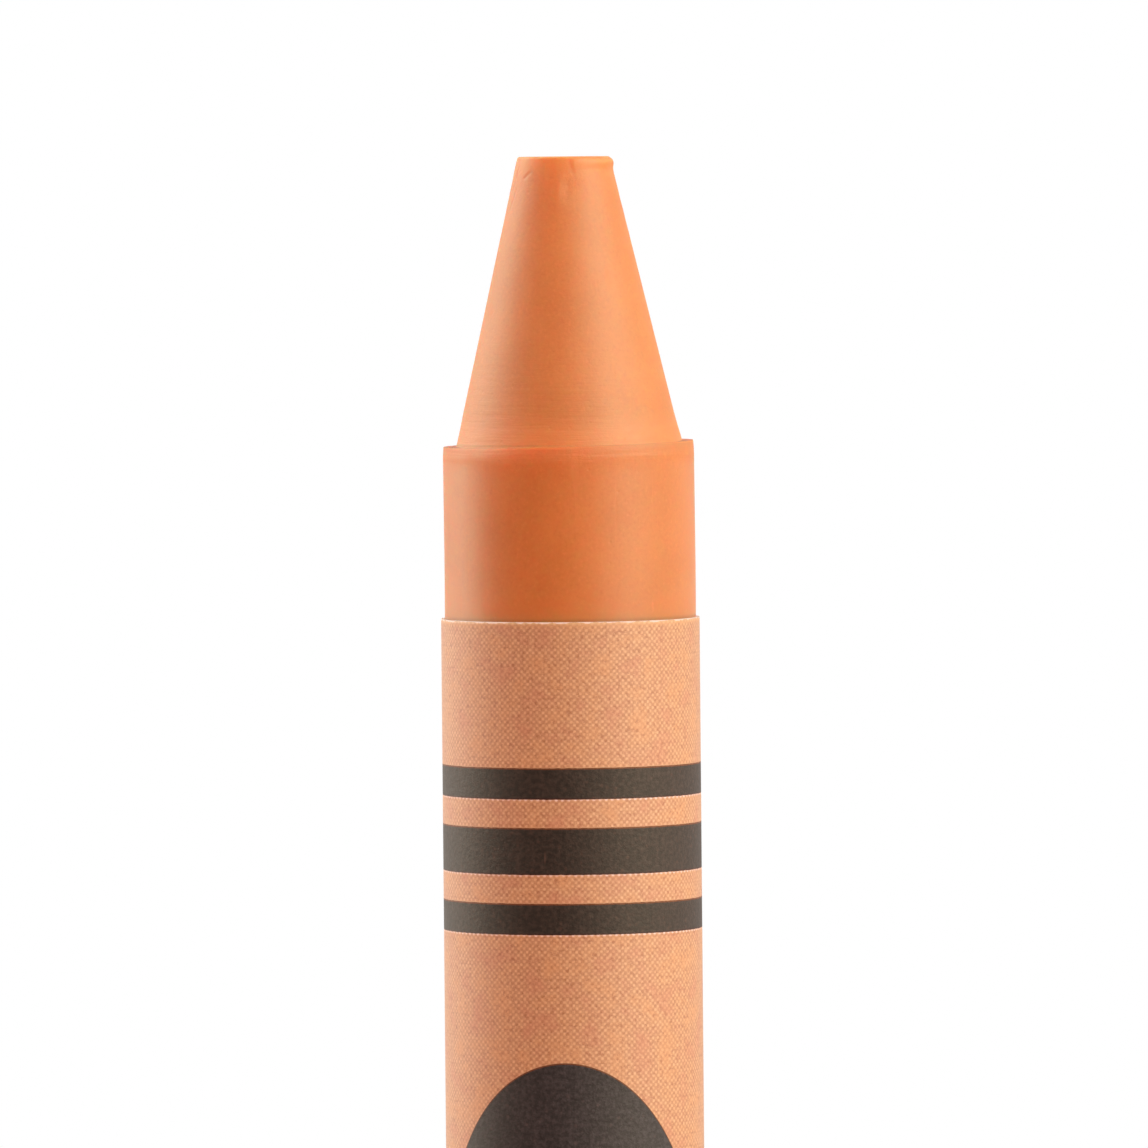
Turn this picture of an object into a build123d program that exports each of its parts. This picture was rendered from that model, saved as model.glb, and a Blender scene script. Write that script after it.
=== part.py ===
# A wax crayon in a wound paper label: a moulded wax stick, the printed label that is rolled round it,
# and the film of paste that bonds the two.
# Millimetres, +Z up along the stick, origin at the centre of the butt face that it stands on.
# The front, where the print faces, is -Y. The label's seam is at the back.

from build123d import *
import os

# Moulded wax stick
stick_length = 92.0         # butt face to tip flat
barrel_diameter = 7.72      # straight barrel
butt_edge_radius = 0.3      # rounded edge of the butt face
point_length = 8.78         # ledge to tip flat
ledge_width = 0.41          # flat step at the foot of the point, left by the rim of the ejector
ledge_edge_radius = 0.12    # outer edge of the ledge
ledge_root_radius = 0.1     # corner where the point rises from the ledge
tip_flat_diameter = 2.83    # blunt end of the point
tip_edge_radius = 0.12      # worn edge of the tip flat

# Paper label, one sheet wound on in whole turns
collar_length = 5.35        # bare wax between the label and the ledge
butt_margin = 3.0           # bare wax between the label and the butt face
paper_thickness = 0.05
wrap_turns = 2
seam_angle = 100.0          # outer edge of the sheet, in degrees from +X
lap_angle = 24.0            # degrees in which the sheet climbs over its own starting edge

# Paste between the wax and the sheet, and between the turns
paste_thickness = 0.008
paste_margin = 0.5          # dry border at both ends of the sheet

# Sizes that follow
barrel_radius = barrel_diameter / 2
tip_radius = tip_flat_diameter / 2
point_root_radius = barrel_radius - ledge_width
ledge_height = stick_length - point_length
label_top = ledge_height - collar_length
label_length = label_top - butt_margin
turn_build = paste_thickness + paper_thickness
full_turn = 360.0


def wax_stick():
    # The half section is turned about the axis, then the four round edges are eased
    section = Polyline(
        (0, 0),
        (barrel_radius, 0),
        (barrel_radius, ledge_height),
        (point_root_radius, ledge_height),
        (tip_radius, stick_length),
        (0, stick_length),
        close=True,
    )
    stick = revolve(Plane.XZ * make_face(section), Axis.Z)

    def rim(radius, height):
        # The round edge nearest to that radius and height
        circles = stick.edges().filter_by(GeomType.CIRCLE)
        return circles.sort_by(lambda edge: abs(edge.radius - radius) + abs(edge.center().Z - height))[0]

    for radius, height, easing in (
        (barrel_radius, 0, butt_edge_radius),
        (barrel_radius, ledge_height, ledge_edge_radius),
        (point_root_radius, ledge_height, ledge_root_radius),
        (tip_radius, stick_length, tip_edge_radius),
    ):
        stick = fillet(rim(radius, height), easing)
    return stick


def at_angle(radius, angle):
    return Vector(radius, 0, 0).rotate(Axis.Z, angle)


def climb(low_radius, high_radius):
    # Two arcs that lift the sheet from one turn to the next, tangent to both turns
    start = at_angle(low_radius, seam_angle)
    middle = at_angle((low_radius + high_radius) / 2, seam_angle + lap_angle / 2)
    end = at_angle(high_radius, seam_angle + lap_angle)
    start_direction = at_angle(1, seam_angle + full_turn / 4)
    end_direction = at_angle(1, seam_angle + lap_angle - full_turn / 4)
    return [
        Edge.make_tangent_arc(start, start_direction, middle),
        Edge.make_tangent_arc(end, end_direction, middle),
    ]


def wound_line(first_radius):
    # One face of the sheet in cross-section, from its inner edge to its outer edge
    line = []
    for turn in range(wrap_turns):
        radius = first_radius + turn * turn_build
        if turn > 0:
            line += climb(radius - turn_build, radius)
        line.append(
            Edge.make_circle(
                radius,
                start_angle=seam_angle + lap_angle,
                end_angle=seam_angle + full_turn,
            )
        )
    return line


def wound_layer(first_radius, thickness, bottom, length):
    # A layer that follows the windings, from the given inside radius of the first turn
    last_radius = first_radius + (wrap_turns - 1) * turn_build
    inner_angle = seam_angle + lap_angle
    cut_edges = [
        Edge.make_line(at_angle(radius, angle), at_angle(radius + thickness, angle))
        for radius, angle in ((first_radius, inner_angle), (last_radius, seam_angle))
    ]
    outline = wound_line(first_radius) + wound_line(first_radius + thickness) + cut_edges
    return Pos(0, 0, bottom) * extrude(make_face(outline), amount=length)


def paper_label():
    return wound_layer(barrel_radius + paste_thickness, paper_thickness, butt_margin, label_length)


def paste_film():
    return wound_layer(
        barrel_radius,
        paste_thickness,
        butt_margin + paste_margin,
        label_length - 2 * paste_margin,
    )


pieces = {
    "wax_stick": wax_stick(),
    "paper_label": paper_label(),
    "paste_film": paste_film(),
}

os.makedirs("parts", exist_ok=True)
for name, piece in pieces.items():
    export_step(piece, f"parts/{name}.step")
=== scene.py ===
import math

import bmesh
import bpy
from mathutils import Matrix, Vector, noise


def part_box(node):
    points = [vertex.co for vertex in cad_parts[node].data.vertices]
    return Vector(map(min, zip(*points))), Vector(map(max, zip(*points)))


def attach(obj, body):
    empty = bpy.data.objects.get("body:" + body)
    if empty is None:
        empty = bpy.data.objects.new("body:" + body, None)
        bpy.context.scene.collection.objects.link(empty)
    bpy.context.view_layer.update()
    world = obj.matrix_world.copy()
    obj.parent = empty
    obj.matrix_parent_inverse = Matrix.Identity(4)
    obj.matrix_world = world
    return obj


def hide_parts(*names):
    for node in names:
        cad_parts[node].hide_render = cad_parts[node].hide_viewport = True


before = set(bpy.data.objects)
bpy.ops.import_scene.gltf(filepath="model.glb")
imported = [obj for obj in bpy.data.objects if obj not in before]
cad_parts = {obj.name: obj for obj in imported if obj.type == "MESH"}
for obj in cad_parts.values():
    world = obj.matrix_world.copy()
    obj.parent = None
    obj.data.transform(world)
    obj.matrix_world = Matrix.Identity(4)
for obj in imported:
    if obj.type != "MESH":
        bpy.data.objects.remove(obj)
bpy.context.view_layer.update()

mm = 0.001
white = (1, 1, 1, 1)
scene = bpy.context.scene
scene.view_settings.view_transform = "Standard"


# Helpers for shapes

def smoothStep(low, high, value):
    t = min(max((value - low) / (high - low), 0.0), 1.0)
    return t * t * (3.0 - 2.0 * t)


def hump(value, spread):
    return math.exp(-(value / spread) ** 2)


def turnBetween(first, second):
    # Degrees from the second bearing to the first, the short way round
    return (first - second + 180.0) % 360.0 - 180.0


def lineDistance(point, start, end):
    along = end - start
    share = min(max((point - start).dot(along) / along.length_squared, 0.0), 1.0)
    return (point - start - along * share).length


def drawLine(bm, places):
    # Straight runs through the places; gives the points, and the middle of each run
    points = [bm.verts.new(spot) for spot in places]
    pairs = list(zip(points, points[1:]))
    for pair in pairs:
        bm.edges.new(pair)
    return points, [(start.co + end.co) / 2 for start, end in pairs]


def addRows(bm, middles, counts):
    # Cuts the run at each middle that many times
    for middle, count in zip(middles, counts):
        run = min(bm.edges, key=lambda edge: lineDistance(middle, *(vert.co for vert in edge.verts)))
        bmesh.ops.subdivide_edges(bm, edges=[run], cuts=count)


def setRadius(spot, radius):
    scale = radius / math.hypot(spot.x, spot.y)
    spot.x *= scale
    spot.y *= scale


def finishMesh(bm, name, materials):
    mesh = bpy.data.meshes.new(name)
    bm.to_mesh(mesh)
    bm.free()
    for face in mesh.polygons:
        face.use_smooth = True
    for material in materials:
        mesh.materials.append(material)
    piece = bpy.data.objects.new(name, mesh)
    scene.collection.objects.link(piece)
    return piece


# Helpers for node trees

def feed(tree, socket, value):
    if isinstance(value, bpy.types.NodeSocket):
        tree.links.new(value, socket)
    else:
        socket.default_value = value


def addNode(tree, kind, inputs=None, **settings):
    node = tree.nodes.new("ShaderNode" + kind)
    for name, value in settings.items():
        setattr(node, name, value)
    for name, value in (inputs or {}).items():
        feed(tree, node.inputs[name], value)
    return node


def calc(tree, operation, *values, clamp=False):
    node = addNode(tree, "Math", operation=operation, use_clamp=clamp)
    for socket, value in zip(node.inputs, values):
        feed(tree, socket, value)
    return node.outputs[0]


def fade(tree, value, low, high, start=0.0, end=1.0):
    node = addNode(tree, "MapRange", interpolation_type="SMOOTHSTEP")
    for socket, number in zip(node.inputs, (value, low, high, start, end)):
        feed(tree, socket, number)
    return node.outputs[0]


def blendColour(tree, factor, first, second, blend="MIX"):
    # Of the Mix node's many sockets, 6 and 7 take the colours and 2 gives the result
    node = addNode(tree, "Mix", {0: factor, 6: first, 7: second}, data_type="RGBA", blend_type=blend)
    return node.outputs[2]


def mixShaders(tree, factor, first, second):
    return addNode(tree, "MixShader", {0: factor, 1: first.outputs[0], 2: second.outputs[0]})


def layTints(tree, colour, tints, masks):
    # Moves a colour towards each tint in turn, as far as its mask and its strength say
    for name, (target, strength) in tints.items():
        share = calc(tree, "MULTIPLY", masks[name], strength)
        colour = blendColour(tree, share, colour, target)
    return colour


def addWeighted(tree, value, weights, masks):
    # Adds each mask times its weight
    for name, weight in weights.items():
        value = calc(tree, "MULTIPLY_ADD", masks[name], weight, value)
    return value


def place(tree, vector, location=(0, 0, 0), turn=(0, 0, 0), scale=(1, 1, 1), kind="POINT"):
    inputs = {
        "Vector": vector,
        "Location": location,
        "Rotation": [math.radians(angle) for angle in turn],
        "Scale": scale,
    }
    return addNode(tree, "Mapping", inputs, vector_type=kind).outputs[0]


def lengthOf(tree, vector):
    return addNode(tree, "VectorMath", {0: vector}, operation="LENGTH").outputs["Value"]


def cloud(tree, vector, scale, detail=2.0, roughness=0.5):
    inputs = {"Vector": vector, "Scale": scale, "Detail": detail, "Roughness": roughness}
    return addNode(tree, "TexNoise", inputs).outputs[0]


def attribute(tree, name):
    return addNode(tree, "Attribute", attribute_name=name).outputs["Fac"]


def newMaterial(name):
    material = bpy.data.materials.new(name)
    material.use_nodes = True
    tree = material.node_tree
    shader = tree.nodes["Principled BSDF"]
    return material, tree, shader


def setGloss(shader, gloss):
    shader.inputs["IOR"].default_value = gloss["ior"]
    shader.inputs["Specular IOR Level"].default_value = gloss["level"]
    shader.inputs["Specular Tint"].default_value = gloss["tint"]


def bump(tree, height, depth):
    inputs = {"Height": height, "Strength": 1.0, "Distance": depth * mm}
    return addNode(tree, "Bump", inputs).outputs[0]


def millimetres(tree):
    source = addNode(tree, "TexCoord").outputs["Object"]
    return place(tree, source, scale=(1 / mm, 1 / mm, 1 / mm))


# Effects that the materials share

def newGroup(name, inputs, outputName):
    group = bpy.data.node_groups.new(name, "ShaderNodeTree")
    for inputName, kind in inputs.items():
        group.interface.new_socket(name=inputName, in_out="INPUT", socket_type="NodeSocket" + kind)
    group.interface.new_socket(name=outputName, in_out="OUTPUT", socket_type="NodeSocketFloat")
    source = group.nodes.new("NodeGroupInput").outputs
    target = group.nodes.new("NodeGroupOutput").inputs[outputName]
    return group, source, target


def makeGrainGroup():
    # Fine even mottling about a half, from 0 to 1
    inputs = {"Vector": "Vector", "Scale": "Float", "Contrast": "Float"}
    group, source, target = newGroup("fineGrain", inputs, "Mask")
    fine = cloud(group, source["Vector"], source["Scale"], detail=4.0, roughness=0.65)
    swing = calc(group, "MULTIPLY", calc(group, "SUBTRACT", fine, 0.5), source["Contrast"])
    group.links.new(calc(group, "ADD", swing, 0.5, clamp=True), target)
    return group


def makeSpeckGroup():
    # Small round specks at some of the cells of a Voronoi pattern
    inputs = {"Vector": "Vector", "Scale": "Float", "Size": "Float", "Share": "Float"}
    group, source, target = newGroup("specks", inputs, "Mask")
    cells = addNode(group, "TexVoronoi", {"Vector": source["Vector"], "Scale": source["Scale"]})
    pick = addNode(group, "SeparateColor", {"Color": cells.outputs["Color"]}).outputs[0]
    chosen = calc(group, "LESS_THAN", pick, source["Share"])
    reach = calc(group, "DIVIDE", cells.outputs["Distance"], source["Size"])
    near = calc(group, "SUBTRACT", 1.0, reach, clamp=True)
    group.links.new(calc(group, "MULTIPLY", chosen, near), target)
    return group


def makeStreakGroup():
    # Thin scuffs: the crests of a noise that the caller has stretched
    softness = 0.12
    inputs = {"Vector": "Vector", "Scale": "Float", "Share": "Float"}
    group, source, target = newGroup("streaks", inputs, "Mask")
    lines = cloud(group, source["Vector"], source["Scale"], detail=3.0, roughness=0.6)
    start = calc(group, "SUBTRACT", 1.0, source["Share"])
    group.links.new(fade(group, lines, start, calc(group, "ADD", start, softness)), target)
    return group


def makeScreenGroup():
    # Printer's screen: a square lattice of soft open dots, 1 in the middle of each
    inputs = {"Vector": "Vector", "Period": "Float"}
    group, source, target = newGroup("printScreen", inputs, "Mask")
    axes = addNode(group, "SeparateXYZ", {"Vector": source["Vector"]}).outputs
    waves = []
    for axis in axes[:2]:
        phase = calc(group, "MULTIPLY", calc(group, "DIVIDE", axis, source["Period"]), math.tau)
        waves.append(calc(group, "COSINE", phase))
    both = calc(group, "ADD", *waves)
    group.links.new(calc(group, "MULTIPLY_ADD", both, 0.25, 0.5), target)   # from -2 and 2 to 0 and 1
    return group


effects = {
    "grain": makeGrainGroup(),
    "specks": makeSpeckGroup(),
    "streaks": makeStreakGroup(),
    "screen": makeScreenGroup(),
}


def effect(tree, name, **inputs):
    node = tree.nodes.new("ShaderNodeGroup")
    node.node_tree = effects[name]
    for inputName, value in inputs.items():
        feed(tree, node.inputs[inputName], value)
    return node.outputs[0]


print("helpers and shared effects ready")


# Camera, at the photograph's viewing angle

photoView = {
    "side": 1148,                  # pixels along each edge of the frame
    "millimetrePerPixel": 0.03074,
    "axisColumn": 569.95,          # column of the crayon's axis in the middle row
    "middleHeight": 79.17,         # height on the axis in the middle row
    "distance": 430.0,
    "elevation": 2.0,
    "roll": 0.52,                  # the crayon's top leans to the left
    "sensor": 36.0,
    "clip": (10.0, 20000.0),
}


def addCamera(view):
    fieldWidth = view["side"] * view["millimetrePerPixel"]
    data = bpy.data.cameras.new("photoCamera")
    data.sensor_width = view["sensor"]
    data.lens = view["sensor"] * view["distance"] / fieldWidth
    data.clip_start, data.clip_end = (reach * mm for reach in view["clip"])
    camera = bpy.data.objects.new("photoCamera", data)
    pan = (view["side"] / 2 - view["axisColumn"]) * view["millimetrePerPixel"]
    aim = Vector((pan, 0, view["middleHeight"])) * mm
    tilt = math.radians(view["elevation"])
    back = Vector((0, -math.cos(tilt), math.sin(tilt)))
    turn = (-back).to_track_quat("-Z", "Y").to_matrix().to_4x4()
    roll = Matrix.Rotation(-math.radians(view["roll"]), 4, "Z")
    camera.matrix_world = Matrix.Translation(aim + back * view["distance"] * mm) @ turn @ roll
    scene.collection.objects.link(camera)
    scene.camera = camera


addCamera(photoView)
print("camera placed")


# Studio: pale floor, white surroundings, two soft boxes and a soft room light

studio = {
    "floorRadius": 700.0,
    "floorSegments": 96,
    "floorGap": 0.01,                       # the floor lies this far under the butt face
    "floorColour": (0.80, 0.80, 0.80, 1),
    "floorRoughness": 0.9,
    "shadowReach": (120.0, 330.0),          # it fades to white between these distances
    "lampColour": (0.85, 1.0, 1.03),
    "aimHeight": 80.0,                      # height that both soft boxes face
    "roomAbove": (0.445, 0.30, 0.275, 1),
    "roomBelow": (0.87, 0.435, 0.355, 1),   # warm light that comes up from the table
    "roomTurn": (-0.3, 0.3),                # Z of the directions between which one becomes the other
    "mirroredFrom": (-0.09, 0.26),          # and Y of those between which polish begins to mirror white
}

# Degrees round from the front and up from level, and millimetres
softBoxes = {
    "rightBox": {"around": 60.5, "up": 29.4, "distance": 600.0, "size": 600.0, "watts": 4.90},
    "leftBox": {"around": -110.7, "up": 27.2, "distance": 600.0, "size": 668.0, "watts": 4.25},
}


def floorMaterial():
    # Pale and matt round the crayon, where it keeps the shadow, and pure white farther off
    material, tree, shader = newMaterial("floorPaper")
    shader.inputs["Base Color"].default_value = studio["floorColour"]
    shader.inputs["Roughness"].default_value = studio["floorRoughness"]
    shader.inputs["Specular IOR Level"].default_value = 0.0
    far = fade(tree, lengthOf(tree, millimetres(tree)), *studio["shadowReach"])
    path = addNode(tree, "LightPath").outputs
    seen = calc(tree, "MAXIMUM", path["Is Camera Ray"], path["Is Glossy Ray"])
    seen = calc(tree, "MAXIMUM", seen, path["Is Transmission Ray"])
    glow = addNode(tree, "Emission", {"Strength": 1.0})
    upper = mixShaders(tree, calc(tree, "MULTIPLY", seen, far), shader, glow)
    clear = addNode(tree, "BsdfTransparent")
    below = addNode(tree, "NewGeometry").outputs["Backfacing"]
    sided = mixShaders(tree, below, upper, clear)   # clear from below, so that it hides nothing
    tree.links.new(sided.outputs[0], tree.nodes["Material Output"].inputs["Surface"])
    return material


def addFloor():
    bm = bmesh.new()
    lowered = Matrix.Translation((0, 0, -studio["floorGap"] * mm))
    bmesh.ops.create_circle(bm, cap_ends=True, segments=studio["floorSegments"],
                            radius=studio["floorRadius"] * mm, matrix=lowered)
    floor = finishMesh(bm, "studioFloor", [floorMaterial()])
    floor.visible_diffuse = False   # it takes the shadow, and neither lights the crayon nor shines in it
    floor.visible_glossy = False


def addSoftBox(name, box):
    around = math.radians(box["around"])
    up = math.radians(box["up"])
    level = math.cos(up)
    direction = Vector((math.sin(around) * level, -math.cos(around) * level, math.sin(up)))
    data = bpy.data.lights.new(name, "AREA")
    data.shape = "DISK"
    data.size = box["size"] * mm
    data.energy = box["watts"]
    data.color = studio["lampColour"]
    lamp = bpy.data.objects.new(name, data)
    lamp.location = Vector((0, 0, studio["aimHeight"])) * mm + direction * box["distance"] * mm
    lamp.rotation_euler = direction.to_track_quat("Z", "Y").to_euler()
    lamp.visible_camera = False
    scene.collection.objects.link(lamp)


def addRoom():
    world = bpy.data.worlds.new("studioRoom")
    scene.world = world
    world.use_nodes = True
    tree = world.node_tree
    light = tree.nodes["Background"]
    direction = addNode(tree, "TexCoord").outputs["Generated"]
    axes = addNode(tree, "SeparateXYZ", {"Vector": direction}).outputs
    above = fade(tree, axes["Z"], *studio["roomTurn"])
    room = blendColour(tree, above, studio["roomBelow"], studio["roomAbove"])
    tree.links.new(room, light.inputs["Color"])
    behind = fade(tree, axes["Y"], *studio["mirroredFrom"])
    mirrored = addNode(tree, "Background", {"Color": white, "Strength": behind})
    backdrop = addNode(tree, "Background", {"Color": white, "Strength": 1.0})
    path = addNode(tree, "LightPath").outputs
    polish = calc(tree, "MAXIMUM", path["Is Glossy Ray"], path["Is Transmission Ray"])
    lit = mixShaders(tree, polish, light, mirrored)
    shown = mixShaders(tree, path["Is Camera Ray"], lit, backdrop)
    tree.links.new(shown.outputs[0], tree.nodes["World Output"].inputs["Surface"])


addFloor()
for boxName, boxValues in softBoxes.items():
    addSoftBox(boxName, boxValues)
addRoom()
print("studio lit")


# Wax stick

waxLow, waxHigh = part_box("wax_stick")
labelLow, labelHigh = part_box("paper_label")

wax = {
    "length": waxHigh.z / mm,
    "barrelRadius": (waxHigh.x - waxLow.x) / 2 / mm,
    "labelTop": labelHigh.z / mm,
    "labelBottom": labelLow.z / mm,
    "pointLength": 8.78,
    "ledgeWidth": 0.41,
    "tipFlatRadius": 1.415,
    "buttEdge": 0.3,               # roundings of the corners
    "ledgeRoot": 0.06,
    "tipEdge": 0.08,
    "roundSegments": 6,
    "hiddenMargin": 1.0,           # fine rows start this far inside the label's ends
    "rimRows": 0.8,                # finer rows just under the ledge
    "tipRows": 1.7,                # and just under the tip flat
    "steps": 288,
    "skin": 0.01,                  # a point this near to a surface is on it
    "sameSpot": 0.0005,            # points as near as this are merged
    "collarDrift": -0.0053,        # sideways run of the collar's axis, per millimetre of height
    "coneShift": 0.012,            # the point's foot sits this far to the right
    "coneDrift": -0.0105,
    "coneFrom": 0.2,               # depth under the ledge from which the point's own lean counts
    "ledgeTilt": 0.08,             # the ledge is this much higher at the right, and lower at the left
    "ledgeDrop": 0.03,
    "ledgeTiltReach": (0.1, 1.0),  # the tilt fades out between these distances from the ledge
}
wax["ledgeHeight"] = wax["length"] - wax["pointLength"]
wax["rootRadius"] = wax["barrelRadius"] - wax["ledgeWidth"]

# How the ledge is rubbed down: the collar draws in just under it, and the point's foot flares a little
ledgeWear = {
    "reach": 0.50,                 # height of the collar that draws in
    "least": 0.018,                # it draws in this far everywhere, and more at these bearings
    "places": [
        {"around": -8.0, "spread": 34.0, "inward": 0.030},
        {"around": -47.0, "spread": 20.0, "inward": 0.085},
        {"around": 50.0, "spread": 26.0, "inward": 0.035},
        {"around": 150.0, "spread": 34.0, "inward": 0.060},
        {"around": -140.0, "spread": 30.0, "inward": 0.040},
    ],
    "underLedge": -0.001,          # below this rise a point belongs to the collar
    "flare": (0.020, 0.060),       # elsewhere, and in front
    "flareReach": 0.45,
    "flareTop": 3.0,               # nothing flares above this rise
    "front": (88.0, 55.0),         # bearings between which the front begins
    "dip": 0.050,                  # in front the ledge falls inwards
    "dipReach": 0.4,
}

# Marks near the tip, by degrees round from the front and millimetres under the tip flat
tipMarks = {
    "reach": 2.4,                  # there are none farther down
    "flatMargin": 0.2,             # or farther in on the tip flat
    "lip": {
        "start": (4.0, 14.0),      # bearings between which it begins
        "swell": (14.0, 75.0),     # between which it grows from faint to full
        "faint": 0.35,
        "end": (165.0, 115.0),     # and between which it has gone
        "reach": 0.075,
        "depth": 0.16,
        "spread": 0.17,
        "edge": (0.0, 0.1),        # it begins under the tip's rounded edge
        "rubDepth": 0.1,           # where it is rubbed most
        "rubSpread": 0.12,
    },
    "facet": {"around": -9.0, "depth": 1.05, "height": 0.50, "edge": 0.40, "back": 1.6, "sink": 0.045},
    "cuts": [
        {"from": (7.5, 0.10), "to": (10.0, 0.48), "width": 0.06, "sink": 0.007},
        {"from": (-43.0, 0.49), "to": (-51.0, 0.65), "width": 0.045, "sink": 0.016},
        {"from": (-68.0, 0.36), "to": (-72.0, 1.05), "width": 0.04, "sink": 0.018},
        {"from": (-63.0, 1.00), "to": (-69.0, 1.60), "width": 0.04, "sink": 0.014},
    ],
    "dents": {"size": 0.006, "scale": 2.3, "start": (0.05, 0.3)},
}


def waxOutline(bm):
    # The half section from the butt to the tip, with rounded corners and rows of points
    barrel, ledge, root = wax["barrelRadius"], wax["ledgeHeight"], wax["rootRadius"]
    tip, top = wax["tipFlatRadius"], wax["length"]
    slope = (root - tip) / wax["pointLength"]
    corners = [  # radius, height, rounding, rows to the next corner
        (0.0, 0.0, 0.0, 6),
        (barrel, 0.0, wax["buttEdge"], 20),
        (barrel, wax["labelBottom"] + wax["hiddenMargin"], 0.0, 8),
        (barrel, wax["labelTop"] - wax["hiddenMargin"], 0.0, 40),
        (barrel, ledge - wax["rimRows"], 0.0, 30),
        (barrel, ledge, 0.0, 12),
        (root, ledge, wax["ledgeRoot"], 64),
        (tip + slope * wax["tipRows"], top - wax["tipRows"], 0.0, 46),
        (tip, top, wax["tipEdge"], 10),
        (0.0, top, 0.0, 0),
    ]
    points, middles = drawLine(bm, [Vector((radius, 0, height)) * mm for radius, height, _, _ in corners])
    for point, (_, _, rounding, _) in zip(points, corners):
        if rounding == 0.0:
            continue
        sides = [edge.other_vert(point).co - point.co for edge in point.link_edges]
        turn = math.pi - sides[0].angle(sides[1])
        reach = rounding * math.tan(turn / 2) * mm
        bmesh.ops.bevel(bm, geom=[point], offset=reach, offset_type="OFFSET", segments=wax["roundSegments"],
                        profile=0.5, affect="VERTICES", material=-1)
    addRows(bm, middles, [rows for _, _, _, rows in corners])


def wearLedge(spot, around):
    # Draws the collar's top in, flares the point's foot and lets the ledge between them dip; gives how far
    # the point lies in the rubbed rim, where the material paints shade
    radius = math.hypot(spot.x, spot.y)
    rise = spot.z - wax["ledgeHeight"]
    inward = ledgeWear["least"]
    for worn in ledgeWear["places"]:
        inward += worn["inward"] * hump(turnBetween(around, worn["around"]), worn["spread"])
    inner, outer = wax["rootRadius"], wax["barrelRadius"]
    if rise < ledgeWear["underLedge"]:
        share = max(1.0 + rise / ledgeWear["reach"], 0.0) ** 2
        if radius > outer - wax["skin"] and share > 0.0:
            setRadius(spot, radius - inward * share)
            return share
        return 0.0
    front = smoothStep(*ledgeWear["front"], abs(around))
    low, high = ledgeWear["flare"]
    flare = low + (high - low) * front
    across = min(max((radius - inner) / (outer - inner), 0.0), 1.0)
    push = flare * hump(rise, ledgeWear["flareReach"]) * (1.0 - across) - inward * across
    if rise < ledgeWear["flareTop"]:
        setRadius(spot, radius + push)
        spot.z -= ledgeWear["dip"] * front * (1.0 - across) * smoothStep(ledgeWear["dipReach"], 0.0, rise)
    return across


def markTip(spot, around):
    # Lip, facet, cuts and dents round the blunt end, as one push along the radius
    depth = wax["length"] - spot.z
    radius = math.hypot(spot.x, spot.y)
    if depth > tipMarks["reach"] or radius < wax["tipFlatRadius"] - tipMarks["flatMargin"]:
        return 0.0, 0.0
    arc = radius * math.radians(1.0)
    lip, facet, dents = tipMarks["lip"], tipMarks["facet"], tipMarks["dents"]
    bold = smoothStep(*lip["start"], around) * smoothStep(*lip["end"], around)
    bold *= lip["faint"] + (1.0 - lip["faint"]) * smoothStep(*lip["swell"], around)
    push = lip["reach"] * bold * hump(depth - lip["depth"], lip["spread"]) * smoothStep(*lip["edge"], depth)
    side = arc * (around - facet["around"])
    flat = smoothStep(0.0, facet["edge"], side) * smoothStep(facet["back"], facet["edge"], side)
    push -= facet["sink"] * flat * hump(depth - facet["depth"], facet["height"])
    groove = 0.0
    here = Vector((arc * around, depth))
    for cut in tipMarks["cuts"]:
        start, end = (Vector((arc * bearing, down)) for bearing, down in (cut["from"], cut["to"]))
        share = hump(lineDistance(here, start, end), cut["width"])
        push -= cut["sink"] * share
        groove = max(groove, share)
    push += dents["size"] * noise.noise(spot * dents["scale"]) * smoothStep(*dents["start"], depth)
    setRadius(spot, radius + push)
    return bold * hump(depth - lip["rubDepth"], lip["rubSpread"]), groove


def leanWax(spot):
    # The collar and the point each stand a little askew
    ledge = wax["ledgeHeight"]
    radius = math.hypot(spot.x, spot.y)
    midCollar = (ledge + wax["labelTop"]) / 2
    collarShift = wax["collarDrift"] * (min(spot.z, ledge) - midCollar)
    collarShift *= smoothStep(wax["labelTop"] - wax["hiddenMargin"], midCollar, spot.z)
    coneShift = wax["coneShift"] + wax["coneDrift"] * (spot.z - ledge)
    share = 0.0
    if spot.z > ledge - wax["coneFrom"]:
        share = smoothStep(wax["barrelRadius"], wax["rootRadius"], radius)
    tilt = wax["ledgeTilt"] * spot.x / wax["barrelRadius"] - wax["ledgeDrop"]
    tilt *= 1.0 - smoothStep(*wax["ledgeTiltReach"], abs(spot.z - ledge))
    spot.x += collarShift + (coneShift - collarShift) * share
    spot.z += tilt


def shapeWax(bm):
    # Wears and leans the turned stick, and notes for the material where it is worn, and where it paints
    # shade on the ledge's top and rim
    wearAndShadeLayer = bm.verts.layers.float.new("wear")
    grooveLayer = bm.verts.layers.float.new("groove")
    ledgeShadeLayer = bm.verts.layers.float.new("ledge")
    for vert in bm.verts:
        spot = vert.co / mm
        # the ledge's flat top, which the material darkens as painted shade
        level = abs(spot.z - wax["ledgeHeight"]) < wax["skin"]
        vert[ledgeShadeLayer] = 1.0 if level and spot.xy.length > wax["rootRadius"] else 0.0
        around = math.degrees(math.atan2(spot.x, -spot.y))
        rolledAndShaded = wearLedge(spot, around)
        rubbed, vert[grooveLayer] = markTip(spot, around)
        vert[wearAndShadeLayer] = max(rolledAndShaded, rubbed)
        leanWax(spot)
        vert.co = spot * mm


darkWax = (0.529, 0.073, 0.013, 1)
paleWax = (0.795, 0.272, 0.07, 1)

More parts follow.
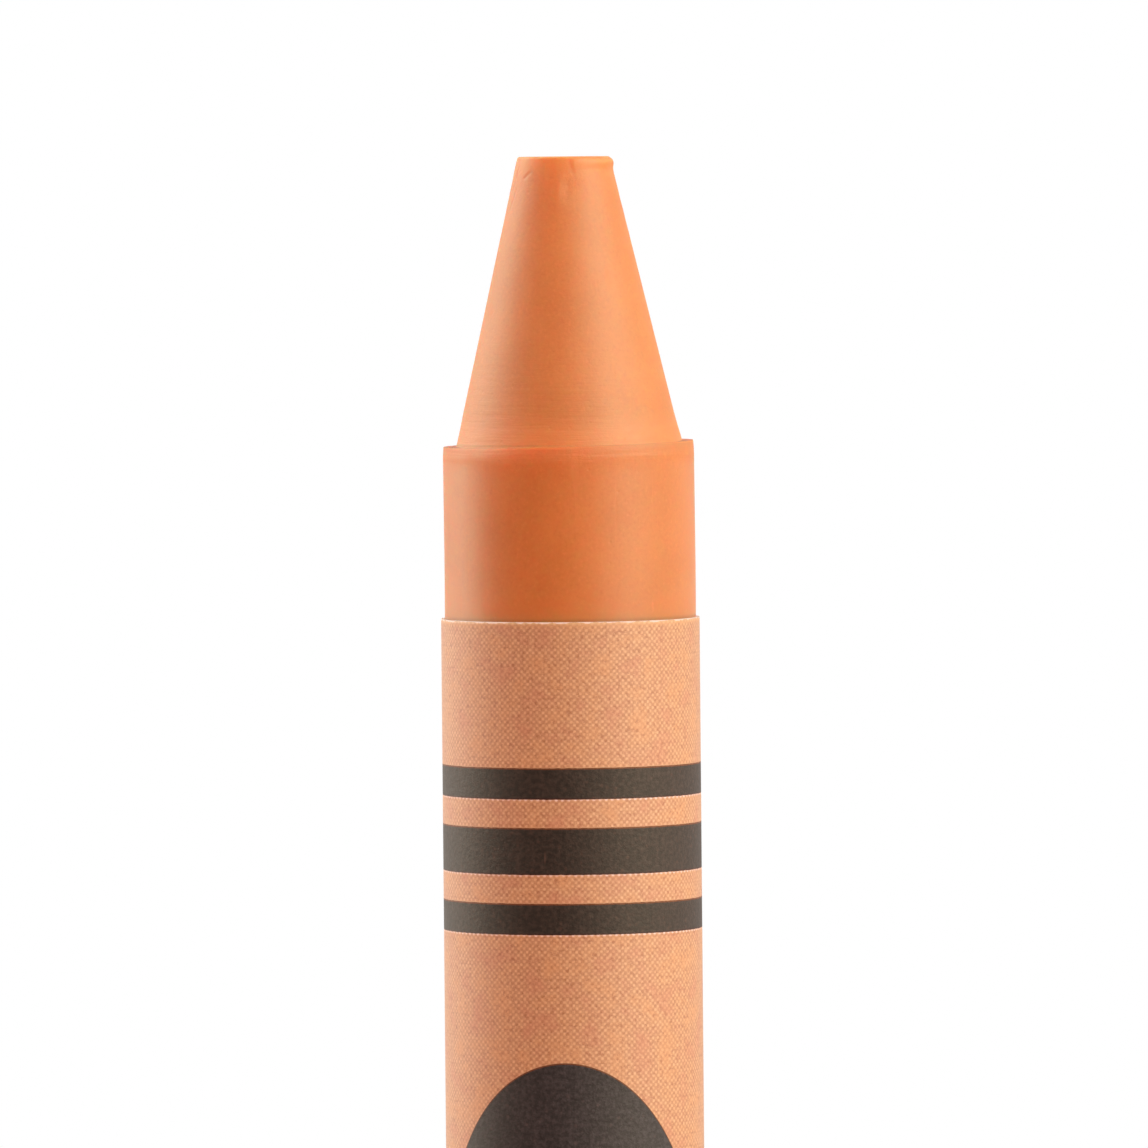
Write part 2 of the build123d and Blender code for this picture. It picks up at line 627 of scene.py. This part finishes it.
waxLook = {
    "colour": (0.705, 0.22, 0.045, 1),
    "deepColour": (0.663, 0.202, 0.039, 1),
    "patches": {"scale": 0.5, "detail": 3.0, "roughness": 0.55},
    "deepFrom": (0.35, 0.7),       # strengths of the patches between which the colour deepens
    "grain": {"Scale": 9.0, "Contrast": 2.0},
    "paleFrom": (0.5, 1.0),        # and of the grain between which it turns pale, dark or scuffed
    "darkFrom": (0.5, 0.0),
    "scuffedFrom": (0.25, 0.65),
    "streaks": {"Scale": 4.0, "Share": 0.40},
    "streakStretch": (1, 1, 0.05),
    "pits": {"Scale": 3.4, "Size": 0.22, "Share": 0.22},
    "tints": {                     # colour and strength, in the order in which they lie
        "paleGrain": (paleWax, 0.45),
        "darkGrain": (darkWax, 0.24),
        "streaks": (paleWax, 0.16),
        # darker on the lip by the tip, and painted shade on the ledge's rim and on the collar's top just
        # under it
        "wear": ((0.54, 0.165, 0.032, 1), 0.5),
        "scuffs": ((0.915, 0.346, 0.141, 1), 0.35),
        "groove": (darkWax, 0.2),
        "foot": ((0.829, 0.202, 0.042, 1), 0.5),
        # painted light on the point's foot, against the shade that the ledge casts there
        "flare": ((0.821, 0.24, 0.053, 1), 0.7),
        # painted shade on the ledge's flat top, against the light it catches
        "ledge": ((0.42, 0.10, 0.025, 1), 0.8),
        "crown": ((0.673, 0.262, 0.049, 1), 0.8),
        # painted shadow along the label's top edge
        "labelEdgeShadow": (darkWax, 0.35),
    },
    "crownHeight": 0.75,
    "crownRadii": (1.15, 1.38),
    "footHeight": 1.1,             # the wax is redder this far above the label, and painted lighter this far above the ledge, against the shade at the point's foot
    "shadowLineHeight": 0.10,            # painted shadow line where the label's edge meets the wax
    "scuffs": [                    # place from the front, half width and half height, lean
        {"x": 0.23, "z": 83.87, "half": (0.035, 0.26), "lean": -26.0},
        {"x": 2.52, "z": 78.25, "half": (0.05, 0.28), "lean": 0.0},
    ],
    "scuffEdge": (1.0, 0.3),       # parts of its half sizes between which a scuff begins
    "pointFrom": (0.8, 0.3),       # depths under the ledge between which the smooth barrel ends
    "roughness": (0.43, 0.55),     # of the barrel, and of the point
    "addedRoughness": {"grain": 0.10, "streaks": 0.06, "scuffs": 0.15},
    "relief": 0.0075,
    "rings": {"scale": 5.0, "detail": 4.0, "roughness": 0.6},   # left by the mould
    "ringStretch": (0.06, 0.06, 1),
    "ringHeights": (83.5, 87.5),   # they grow fainter between these heights
    "ringStrength": (1.0, 0.15),
    "ringRelief": 2.8,
    "grainRelief": (0.2, 0.3),     # all over, and added on the point
    "addedRelief": {"pits": -0.8, "streaks": -0.2},
    "gloss": {"ior": 1.6, "level": 0.82, "tint": (0.50, 1.0, 0.76, 1)},
    "depth": {"weight": 0.9, "reach": (1.0, 0.10, 0.045), "scale": 2.2},
}


def scuffMask(tree, spot):
    mask = 0.0
    for scuff in waxLook["scuffs"]:
        front = -math.sqrt(wax["barrelRadius"] ** 2 - scuff["x"] ** 2)
        half = (scuff["half"][0], 1.0, scuff["half"][1])
        inside = place(tree, spot, (scuff["x"], front, scuff["z"]), (0, scuff["lean"], 0), half, "TEXTURE")
        mask = calc(tree, "MAXIMUM", mask, fade(tree, lengthOf(tree, inside), *waxLook["scuffEdge"]))
    return mask


def waxMaterial():
    material, tree, shader = newMaterial("orangeWax")
    look, labelTop, ledgeHeight = waxLook, wax["labelTop"], wax["ledgeHeight"]
    spot = millimetres(tree)
    height = addNode(tree, "SeparateXYZ", {"Vector": spot}).outputs["Z"]
    radius = lengthOf(tree, place(tree, spot, scale=(1, 1, 0)))
    upright = place(tree, spot, scale=look["streakStretch"])
    patches = cloud(tree, spot, **look["patches"])
    rings = cloud(tree, place(tree, spot, scale=look["ringStretch"]), **look["rings"])
    grain = effect(tree, "grain", Vector=spot, **look["grain"])
    scuffs = calc(tree, "MULTIPLY", scuffMask(tree, spot), fade(tree, grain, *look["scuffedFrom"]))
    point = fade(tree, height, *(ledgeHeight - depth for depth in look["pointFrom"]))   # 0 on the barrel

    aboveLabel = calc(tree, "GREATER_THAN", height, labelTop - wax["hiddenMargin"])
    nearLabel = fade(tree, height, labelTop + look["footHeight"], labelTop)
    labelShadowBand = fade(tree, height, labelTop + look["shadowLineHeight"], labelTop)
    aboveLedge = calc(tree, "GREATER_THAN", height, ledgeHeight)
    nearLedge = fade(tree, height, ledgeHeight + look["footHeight"], ledgeHeight)
    nearTip = fade(tree, height, wax["length"] - look["crownHeight"], wax["length"])
    masks = {
        "grain": grain,
        "paleGrain": fade(tree, grain, *look["paleFrom"]),
        "darkGrain": fade(tree, grain, *look["darkFrom"]),
        "streaks": effect(tree, "streaks", Vector=upright, **look["streaks"]),
        "pits": effect(tree, "specks", Vector=spot, **look["pits"]),
        "scuffs": scuffs,
        # the lip by the tip, and painted shade on the ledge's rim and the collar just under it
        "wear": attribute(tree, "wear"),
        "groove": attribute(tree, "groove"),
        # painted shade on the ledge's flat top
        "ledge": attribute(tree, "ledge"),
        "foot": calc(tree, "MULTIPLY", nearLabel, aboveLabel),
        # painted shadow just above the label's edge
        "labelEdgeShadow": calc(tree, "MULTIPLY", labelShadowBand, aboveLabel),
        # painted light just above the ledge
        "flare": calc(tree, "MULTIPLY", nearLedge, aboveLedge),
        "crown": calc(tree, "MULTIPLY", nearTip, fade(tree, radius, *look["crownRadii"])),
    }
    colour = blendColour(tree, fade(tree, patches, *look["deepFrom"]), look["colour"], look["deepColour"])
    tree.links.new(layTints(tree, colour, look["tints"], masks), shader.inputs["Base Color"])

    rough = fade(tree, point, 0.0, 1.0, *look["roughness"])
    rough = addWeighted(tree, rough, look["addedRoughness"], masks)
    tree.links.new(rough, shader.inputs["Roughness"])

    ringed = calc(tree, "MULTIPLY", rings, fade(tree, height, *look["ringHeights"], *look["ringStrength"]))
    relief = calc(tree, "MULTIPLY", ringed, calc(tree, "MULTIPLY", point, look["ringRelief"]))
    everywhere, added = look["grainRelief"]
    relief = calc(tree, "MULTIPLY_ADD", grain, calc(tree, "MULTIPLY_ADD", point, added, everywhere), relief)
    relief = addWeighted(tree, relief, look["addedRelief"], masks)
    tree.links.new(bump(tree, relief, look["relief"]), shader.inputs["Normal"])

    setGloss(shader, look["gloss"])
    shader.inputs["Subsurface Weight"].default_value = look["depth"]["weight"]
    shader.inputs["Subsurface Radius"].default_value = look["depth"]["reach"]
    shader.inputs["Subsurface Scale"].default_value = look["depth"]["scale"] * mm
    return material


def addWaxStick():
    bm = bmesh.new()
    waxOutline(bm)
    bmesh.ops.spin(bm, geom=[*bm.verts, *bm.edges], cent=(0, 0, 0), axis=(0, 0, 1), angle=math.tau,
                   steps=wax["steps"], use_merge=True)
    bmesh.ops.remove_doubles(bm, verts=bm.verts, dist=wax["sameSpot"] * mm)
    bmesh.ops.recalc_face_normals(bm, faces=bm.faces)
    rim = Vector((wax["barrelRadius"], wax["ledgeHeight"])) * mm
    for edge in bm.edges:
        far = max((Vector((vert.co.xy.length, vert.co.z)) - rim).length for vert in edge.verts)
        edge.smooth = far > 2 * wax["sameSpot"] * mm   # only the ledge's rim is a sharp edge
    shapeWax(bm)
    stick = finishMesh(bm, "moulded_wax_stick", [waxMaterial()])
    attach(stick, "root")
    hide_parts("wax_stick")


addWaxStick()
print("wax stick turned and worn")


# Paper label, one sheet wound on in two turns

label = {
    "outerRadius": (labelHigh.x - labelLow.x) / 2 / mm,
    "top": labelHigh.z / mm,
    "bottom": labelLow.z / mm,
    "thickness": 0.05,
    "paste": 0.008,
    "turns": 2,
    "seamAngle": 100.0,            # degrees from +X
    "lapAngle": 24.0,
    "frontAngle": 270.0,
    "stepAngle": 3.0,
    "endStretch": 0.5,             # finer rows at both cut ends
    "endRows": 5,
    "rows": 84,
    "trim": 0.030,                 # the upper end is cut this much short
    "ragged": 0.010,               # unevenness of the cut ends
    "raggedScale": 2.1,
}


def sheetRadius(angle):
    # Outside of the sheet; it climbs over its own starting edge once in each turn
    build = label["thickness"] + label["paste"]
    radius = label["outerRadius"] - build * (label["turns"] - 1)
    for turn in range(1, label["turns"]):
        start = label["seamAngle"] + 360.0 * turn
        radius += build * smoothStep(start, start + label["lapAngle"], angle)
    return radius


def sheetAngles():
    first = label["seamAngle"] + label["lapAngle"]
    last = label["seamAngle"] + 360.0 * label["turns"]
    count = round((last - first) / label["stepAngle"])
    return [first + (last - first) * index / count for index in range(count + 1)]


def sheetSpot(angle):
    bearing = math.radians(angle)
    return Vector((math.cos(bearing), math.sin(bearing), 0.0)) * sheetRadius(angle)


def windSheet(bm):
    # The upright starting edge is drawn out step by step round the stick
    alongLayer = bm.verts.layers.float.new("along")
    angles = sheetAngles()
    frontTurn = label["frontAngle"] + 360.0 * (label["turns"] - 1)
    top, bottom, stretch = label["top"], label["bottom"], label["endStretch"]
    heights = (top, top - stretch, bottom + stretch, bottom)
    start = sheetSpot(angles[0])
    _, middles = drawLine(bm, [(start + Vector((0, 0, height))) * mm for height in heights])
    addRows(bm, middles, [label["endRows"], label["rows"], label["endRows"]])
    column = bm.edges[:]
    for vert in bm.verts:
        vert[alongLayer] = math.radians(angles[0] - frontTurn) * label["outerRadius"]
    for before, angle in zip(angles, angles[1:]):
        grown = bmesh.ops.extrude_edge_only(bm, edges=column)["geom"]
        column = [item for item in grown if isinstance(item, bmesh.types.BMEdge)]
        moved = [item for item in grown if isinstance(item, bmesh.types.BMVert)]
        bmesh.ops.translate(bm, verts=moved, vec=(sheetSpot(angle) - sheetSpot(before)) * mm)
        for vert in moved:
            vert[alongLayer] = math.radians(angle - frontTurn) * label["outerRadius"]
    return alongLayer


def roughenEnds(bm, alongLayer):
    # Cut ends are a touch uneven, and never past the sheet's own length
    for vert in bm.verts:
        spot = vert.co / mm
        along = vert[alongLayer]
        for end, side, trim in ((label["top"], -1.0, label["trim"]), (label["bottom"], 1.0, 0.0)):
            share = 1.0 - smoothStep(0.0, label["endStretch"], abs(spot.z - end))
            wave = 0.5 + 0.5 * noise.noise(Vector((along * label["raggedScale"], end, 0.0)))
            spot.z += side * share * (trim + label["ragged"] * wave)
        vert.co = spot * mm


def mapSheet(bm, alongLayer):
    # Flat sheet in millimetres: across from the front's middle, down from the top cut
    flat = bm.loops.layers.uv.new("sheetMap")
    for face in bm.faces:
        for loop in face.loops:
            loop[flat].uv = (loop.vert[alongLayer], label["top"] - loop.vert.co.z / mm)


openDot = (0.826, 0.468, 0.231, 1)
baredPaper = (0.92, 0.6396, 0.5168, 1)
rubbedInk = (0.1301, 0.0573, 0.0394, 1)

printed = {
    "bands": [(4.483, 5.440), (6.311, 7.742), (8.624, 9.578)],   # from either end of the sheet
    "ovalAcross": -0.295,
    "ovalHalf": (7.97, 23.945),
    "misfit": 0.045,               # the black is printed this far above the orange
    "wobble": 0.02,                # the bands' edges waver by this much
    "wobbleScale": 7.0,
    "cutMargin": (0.03, 0.085),    # bare paper along the cut, least and most
    "cutNoise": {"scale": 3.0, "detail": 3.0},
    "cutFrom": (0.35, 0.65),
    "ground": (0.532, 0.219, 0.087, 1),   # the orange between the open dots
    "openDot": openDot,
    "dots": {"period": 0.136, "turn": 45.0, "edge": (0.30, 0.95)},
    "dotWeight": {"shift": (3.0, 7.0, 0.0), "scale": 5.0, "from": (0.3, 0.7), "to": (0.6, 1.0)},
    "rows": {"period": 0.128, "turn": 0.0},
    "waver": {"reach": 0.020, "scale": 5.0, "detail": 2.0},   # unevenness of the lattice
    "patchScale": 1.1,
    "blushFrom": (0.45, 0.75),     # strengths of the patches between which the orange turns red, or yellow
    "sunFrom": (0.55, 0.25),
    "fibres": {"Scale": 7.0, "Contrast": 2.6},
    "paleFrom": (0.55, 0.95),      # and of the fibres between which it turns pale, or dark
    "darkFrom": (0.45, 0.05),
    "groundTints": {               # colour and strength, in the order in which they lie
        "rows": (openDot, 0.22),
        "blush": ((0.631, 0.233, 0.113, 1), 0.62),
        "sun": ((0.738, 0.325, 0.124, 1), 0.62),
        "paleFibres": (openDot, 0.40),
        "darkFibres": ((0.392, 0.111, 0.035, 1), 0.60),
    },
    "spots": {"Scale": 0.5, "Size": 0.10, "Share": 0.25},
    "spotShift": (0.4, 0.3, 0.0),
    "paperTints": {
        "spots": ((0.30, 0.10, 0.05, 1), 0.7),
        "yellowed": ((0.783, 0.393, 0.148, 1), 0.45),
        "missed": (baredPaper, 1.0),
        "cut": (baredPaper, 0.75),
    },
    "yellowedTo": (0.25, 0.10),    # depths under the cut between which the paper yellows
    "missedShare": (0.15, 0.9),    # how bare the missed strip is, and how much barer in the open dots
    "ink": (0.0229, 0.0134, 0.0116, 1),
    "paleInk": (0.0531, 0.0315, 0.025, 1),
    "inkWear": {"threads": 0.45, "scuffs": 0.25, "clouds": 0.25, "fibres": 0.25, "speckle": 1.1},
    "threads": {"Scale": 5.0, "Contrast": 2.4},
    "scuffs": {"Scale": 3.6, "Share": 0.34},
    "upStretch": (1, 0.12, 1),     # of the threads and the scuffs
    "clouds": {"scale": 1.6, "detail": 3.0, "roughness": 0.6},
    "cloudsFrom": (0.35, 0.7),
    "bareFibresFrom": (0.5, 1.0),
    "speckle": {"Scale": 7.5, "Contrast": 4.0},
    "speckleShift": (5.0, 2.0, 0.0),
    "salt": {"Scale": 4.6, "Size": 0.34, "Share": 0.30},
    "scratchAt": (-0.847, 7.23),
    "scratchHalf": (0.032, 0.27),
    "scratchEdge": (1.0, 0.2),     # parts of its half sizes between which it begins
    "rubTints": {"salt": (rubbedInk, 0.45), "scratch": (rubbedInk, 0.6)},
    "panelTone": (1.0, 1.45, 2.0, 1),     # the oval's ink is cooler than the bands'
    "edgeTints": {
        "doubled": ((0.227, 0.054, 0.01, 1), 0.7),
        "lowest": ((0.0468, 0.0087, 0.0092, 1), 0.7),
    },
    "roughness": 0.63,
    "addedRoughness": {"fibres": 0.08, "black": -0.04},
    "gloss": {"ior": 1.7, "level": 0.80, "tint": (0.80, 0.58, 0.39, 1)},
    "varnish": {"weight": 0.8, "roughness": 0.6},   # thin and clear, on the orange only
    "relief": 0.006,
    "addedRelief": {"black": 0.25},
}


def bandMask(tree, down):
    nearest = calc(tree, "MINIMUM", down, calc(tree, "SUBTRACT", label["top"] - label["bottom"], down))
    mask = 0.0
    for start, end in printed["bands"]:
        band = calc(tree, "COMPARE", nearest, (start + end) / 2, (end - start) / 2)
        mask = calc(tree, "ADD", mask, band)
    return mask


def ovalMask(tree, flat, lower):
    middle = (label["top"] - label["bottom"]) / 2 + lower
    half = (*printed["ovalHalf"], 1.0)
    inside = place(tree, flat, (printed["ovalAcross"], middle, 0.0), (0, 0, 0), half, "TEXTURE")
    return calc(tree, "LESS_THAN", lengthOf(tree, inside), 1.0)


def blackMask(tree, flat, down, lower):
    # The bands and the oval, moved this far down the sheet
    bands = bandMask(tree, calc(tree, "SUBTRACT", down, lower))
    return calc(tree, "MAXIMUM", bands, ovalMask(tree, flat, lower))


def orangePrint(tree, flat, fibres):
    # The orange ground: a screen of open dots over a weaker one, uneven as print on soft paper is
    dots, weight, rows, waver = (printed[name] for name in ("dots", "dotWeight", "rows", "waver"))
    shake = addNode(tree, "TexNoise", {"Vector": flat, "Scale": waver["scale"], "Detail": waver["detail"]})
    swing = {0: shake.outputs["Color"], 1: (0.5, 0.5, 0.5)}
    shift = addNode(tree, "VectorMath", swing, operation="SUBTRACT").outputs[0]
    shift = addNode(tree, "VectorMath", {0: shift, "Scale": waver["reach"]}, operation="SCALE").outputs[0]
    shaken = addNode(tree, "VectorMath", {0: flat, 1: shift}, operation="ADD").outputs[0]
    turned = place(tree, shaken, turn=(0, 0, dots["turn"]))
    openDots = fade(tree, effect(tree, "screen", Vector=turned, Period=dots["period"]), *dots["edge"])
    uneven = cloud(tree, place(tree, flat, weight["shift"]), weight["scale"])
    openDots = calc(tree, "MULTIPLY", openDots, fade(tree, uneven, *weight["from"], *weight["to"]))
    turned = place(tree, shaken, turn=(0, 0, rows["turn"]))
    patches = cloud(tree, flat, printed["patchScale"])
    masks = {
        "rows": effect(tree, "screen", Vector=turned, Period=rows["period"]),
        "blush": fade(tree, patches, *printed["blushFrom"]),
        "sun": fade(tree, patches, *printed["sunFrom"]),
        "paleFibres": fade(tree, fibres, *printed["paleFrom"]),
        "darkFibres": fade(tree, fibres, *printed["darkFrom"]),
    }
    colour = blendColour(tree, openDots, printed["ground"], printed["openDot"])
    return layTints(tree, colour, printed["groundTints"], masks), openDots


def blackPrint(tree, flat, fibres):
    # The ink of the bands and the oval, rubbed pale in streaks, clouds and specks
    upright = place(tree, flat, scale=printed["upStretch"])
    aside = place(tree, flat, printed["speckleShift"])
    speckle = effect(tree, "grain", Vector=aside, **printed["speckle"])
    wear = {
        "threads": effect(tree, "grain", Vector=upright, **printed["threads"]),
        "scuffs": effect(tree, "streaks", Vector=upright, **printed["scuffs"]),
        "clouds": fade(tree, cloud(tree, flat, **printed["clouds"]), *printed["cloudsFrom"]),
        "fibres": fade(tree, fibres, *printed["bareFibresFrom"]),
        "speckle": calc(tree, "SUBTRACT", speckle, 0.5),
    }
    worn = addWeighted(tree, 0.0, printed["inkWear"], wear)
    half = (*printed["scratchHalf"], 1.0)
    scratch = place(tree, flat, (*printed["scratchAt"], 0.0), (0, 0, 0), half, "TEXTURE")
    rubs = {
        "salt": effect(tree, "specks", Vector=flat, **printed["salt"]),
        "scratch": fade(tree, lengthOf(tree, scratch), *printed["scratchEdge"]),
    }
    colour = blendColour(tree, worn, printed["ink"], printed["paleInk"])
    colour = layTints(tree, colour, printed["rubTints"], rubs)
    return blendColour(tree, ovalMask(tree, flat, 0.0), colour, printed["panelTone"], "MULTIPLY")


def labelMaterial():
    material, tree, shader = newMaterial("printedPaper")
    flat = addNode(tree, "UVMap", uv_map="sheetMap").outputs["UV"]
    down = addNode(tree, "SeparateXYZ", {"Vector": flat}).outputs["Y"]
    fibres = effect(tree, "grain", Vector=flat, **printed["fibres"])
    orange, openDots = orangePrint(tree, flat, fibres)

    wobble, misfit = printed["wobble"], printed["misfit"]
    wave = calc(tree, "MULTIPLY_ADD", cloud(tree, flat, printed["wobbleScale"]), 2 * wobble, -wobble)
    edge = calc(tree, "ADD", down, wave)
    black, lower, upper = (blackMask(tree, flat, edge, moved) for moved in (0.0, misfit, -misfit))
    missed = calc(tree, "SUBTRACT", lower, black, clamp=True)   # paper that neither colour covers
    least, added = printed["missedShare"]
    cutNoise = cloud(tree, flat, **printed["cutNoise"])
    margin = fade(tree, cutNoise, *printed["cutFrom"], *printed["cutMargin"])
    aside = place(tree, flat, printed["spotShift"])
    masks = {
        "spots": effect(tree, "specks", Vector=aside, **printed["spots"]),
        "yellowed": fade(tree, down, *printed["yellowedTo"]),
        "missed": calc(tree, "MULTIPLY", missed, calc(tree, "MULTIPLY_ADD", openDots, added, least)),
        "cut": calc(tree, "LESS_THAN", down, margin),
        "doubled": calc(tree, "SUBTRACT", black, lower, clamp=True),
        "lowest": calc(tree, "SUBTRACT", black, upper, clamp=True),
        "fibres": fibres,
        "black": black,
    }
    paper = layTints(tree, orange, printed["paperTints"], masks)
    ink = layTints(tree, blackPrint(tree, flat, fibres), printed["edgeTints"], masks)
    tree.links.new(blendColour(tree, black, paper, ink), shader.inputs["Base Color"])

    rough = addWeighted(tree, printed["roughness"], printed["addedRoughness"], masks)
    tree.links.new(rough, shader.inputs["Roughness"])
    relief = addWeighted(tree, fibres, printed["addedRelief"], masks)
    tree.links.new(bump(tree, relief, printed["relief"]), shader.inputs["Normal"])
    varnish = printed["varnish"]
    coat = calc(tree, "MULTIPLY_ADD", black, -varnish["weight"], varnish["weight"])
    tree.links.new(coat, shader.inputs["Coat Weight"])
    shader.inputs["Coat Roughness"].default_value = varnish["roughness"]
    setGloss(shader, printed["gloss"])
    return material


barePaper = {
    "colour": (0.84, 0.76, 0.66, 1),
    "fibres": {"Scale": 11.0, "Contrast": 1.8},
    "tints": {"fibres": ((0.66, 0.50, 0.36, 1), 0.35)},
    "roughness": 0.7,
    "addedRoughness": {"fibres": 0.15},
    "relief": 0.01,
}


def barePaperMaterial():
    # Cut edges and the back of the sheet
    material, tree, shader = newMaterial("barePaper")
    masks = {"fibres": effect(tree, "grain", Vector=millimetres(tree), **barePaper["fibres"])}
    colour = layTints(tree, barePaper["colour"], barePaper["tints"], masks)
    tree.links.new(colour, shader.inputs["Base Color"])
    rough = addWeighted(tree, barePaper["roughness"], barePaper["addedRoughness"], masks)
    tree.links.new(rough, shader.inputs["Roughness"])
    tree.links.new(bump(tree, masks["fibres"], barePaper["relief"]), shader.inputs["Normal"])
    return material


def addLabel():
    bm = bmesh.new()
    alongLayer = windSheet(bm)
    bmesh.ops.recalc_face_normals(bm, faces=bm.faces)
    first = bm.faces[0]
    if first.normal.dot(first.calc_center_median() * Vector((1, 1, 0))) < 0:   # it has to point outwards
        bmesh.ops.reverse_faces(bm, faces=bm.faces)
    roughenEnds(bm, alongLayer)
    mapSheet(bm, alongLayer)
    sheet = finishMesh(bm, "wound_paper_label", [labelMaterial(), barePaperMaterial()])
    wall = sheet.modifiers.new("paperThickness", "SOLIDIFY")
    wall.thickness = label["thickness"] * mm
    wall.offset = -1.0
    wall.material_offset = 1
    wall.material_offset_rim = 1
    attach(sheet, "root")
    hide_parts("paper_label")


addLabel()
print("label wound and printed")


# Paste, which stays the solid that it is

paste = {
    "colour": (0.80, 0.74, 0.60, 1),
    "thinColour": (0.70, 0.52, 0.34, 1),
    "blots": {"Scale": 1.6, "Contrast": 2.0},
    "roughness": 0.4,
    "addedRoughness": {"blots": 0.3},
    "relief": 0.004,
}


def pasteMaterial():
    material, tree, shader = newMaterial("starchPaste")
    blots = effect(tree, "grain", Vector=millimetres(tree), **paste["blots"])
    colour = blendColour(tree, blots, paste["colour"], paste["thinColour"])
    tree.links.new(colour, shader.inputs["Base Color"])
    rough = addWeighted(tree, paste["roughness"], paste["addedRoughness"], {"blots": blots})
    tree.links.new(rough, shader.inputs["Roughness"])
    tree.links.new(bump(tree, blots, paste["relief"]), shader.inputs["Normal"])
    return material


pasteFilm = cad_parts["paste_film"]
pasteFilm.data.materials.clear()
pasteFilm.data.materials.append(pasteMaterial())
print("paste finished")
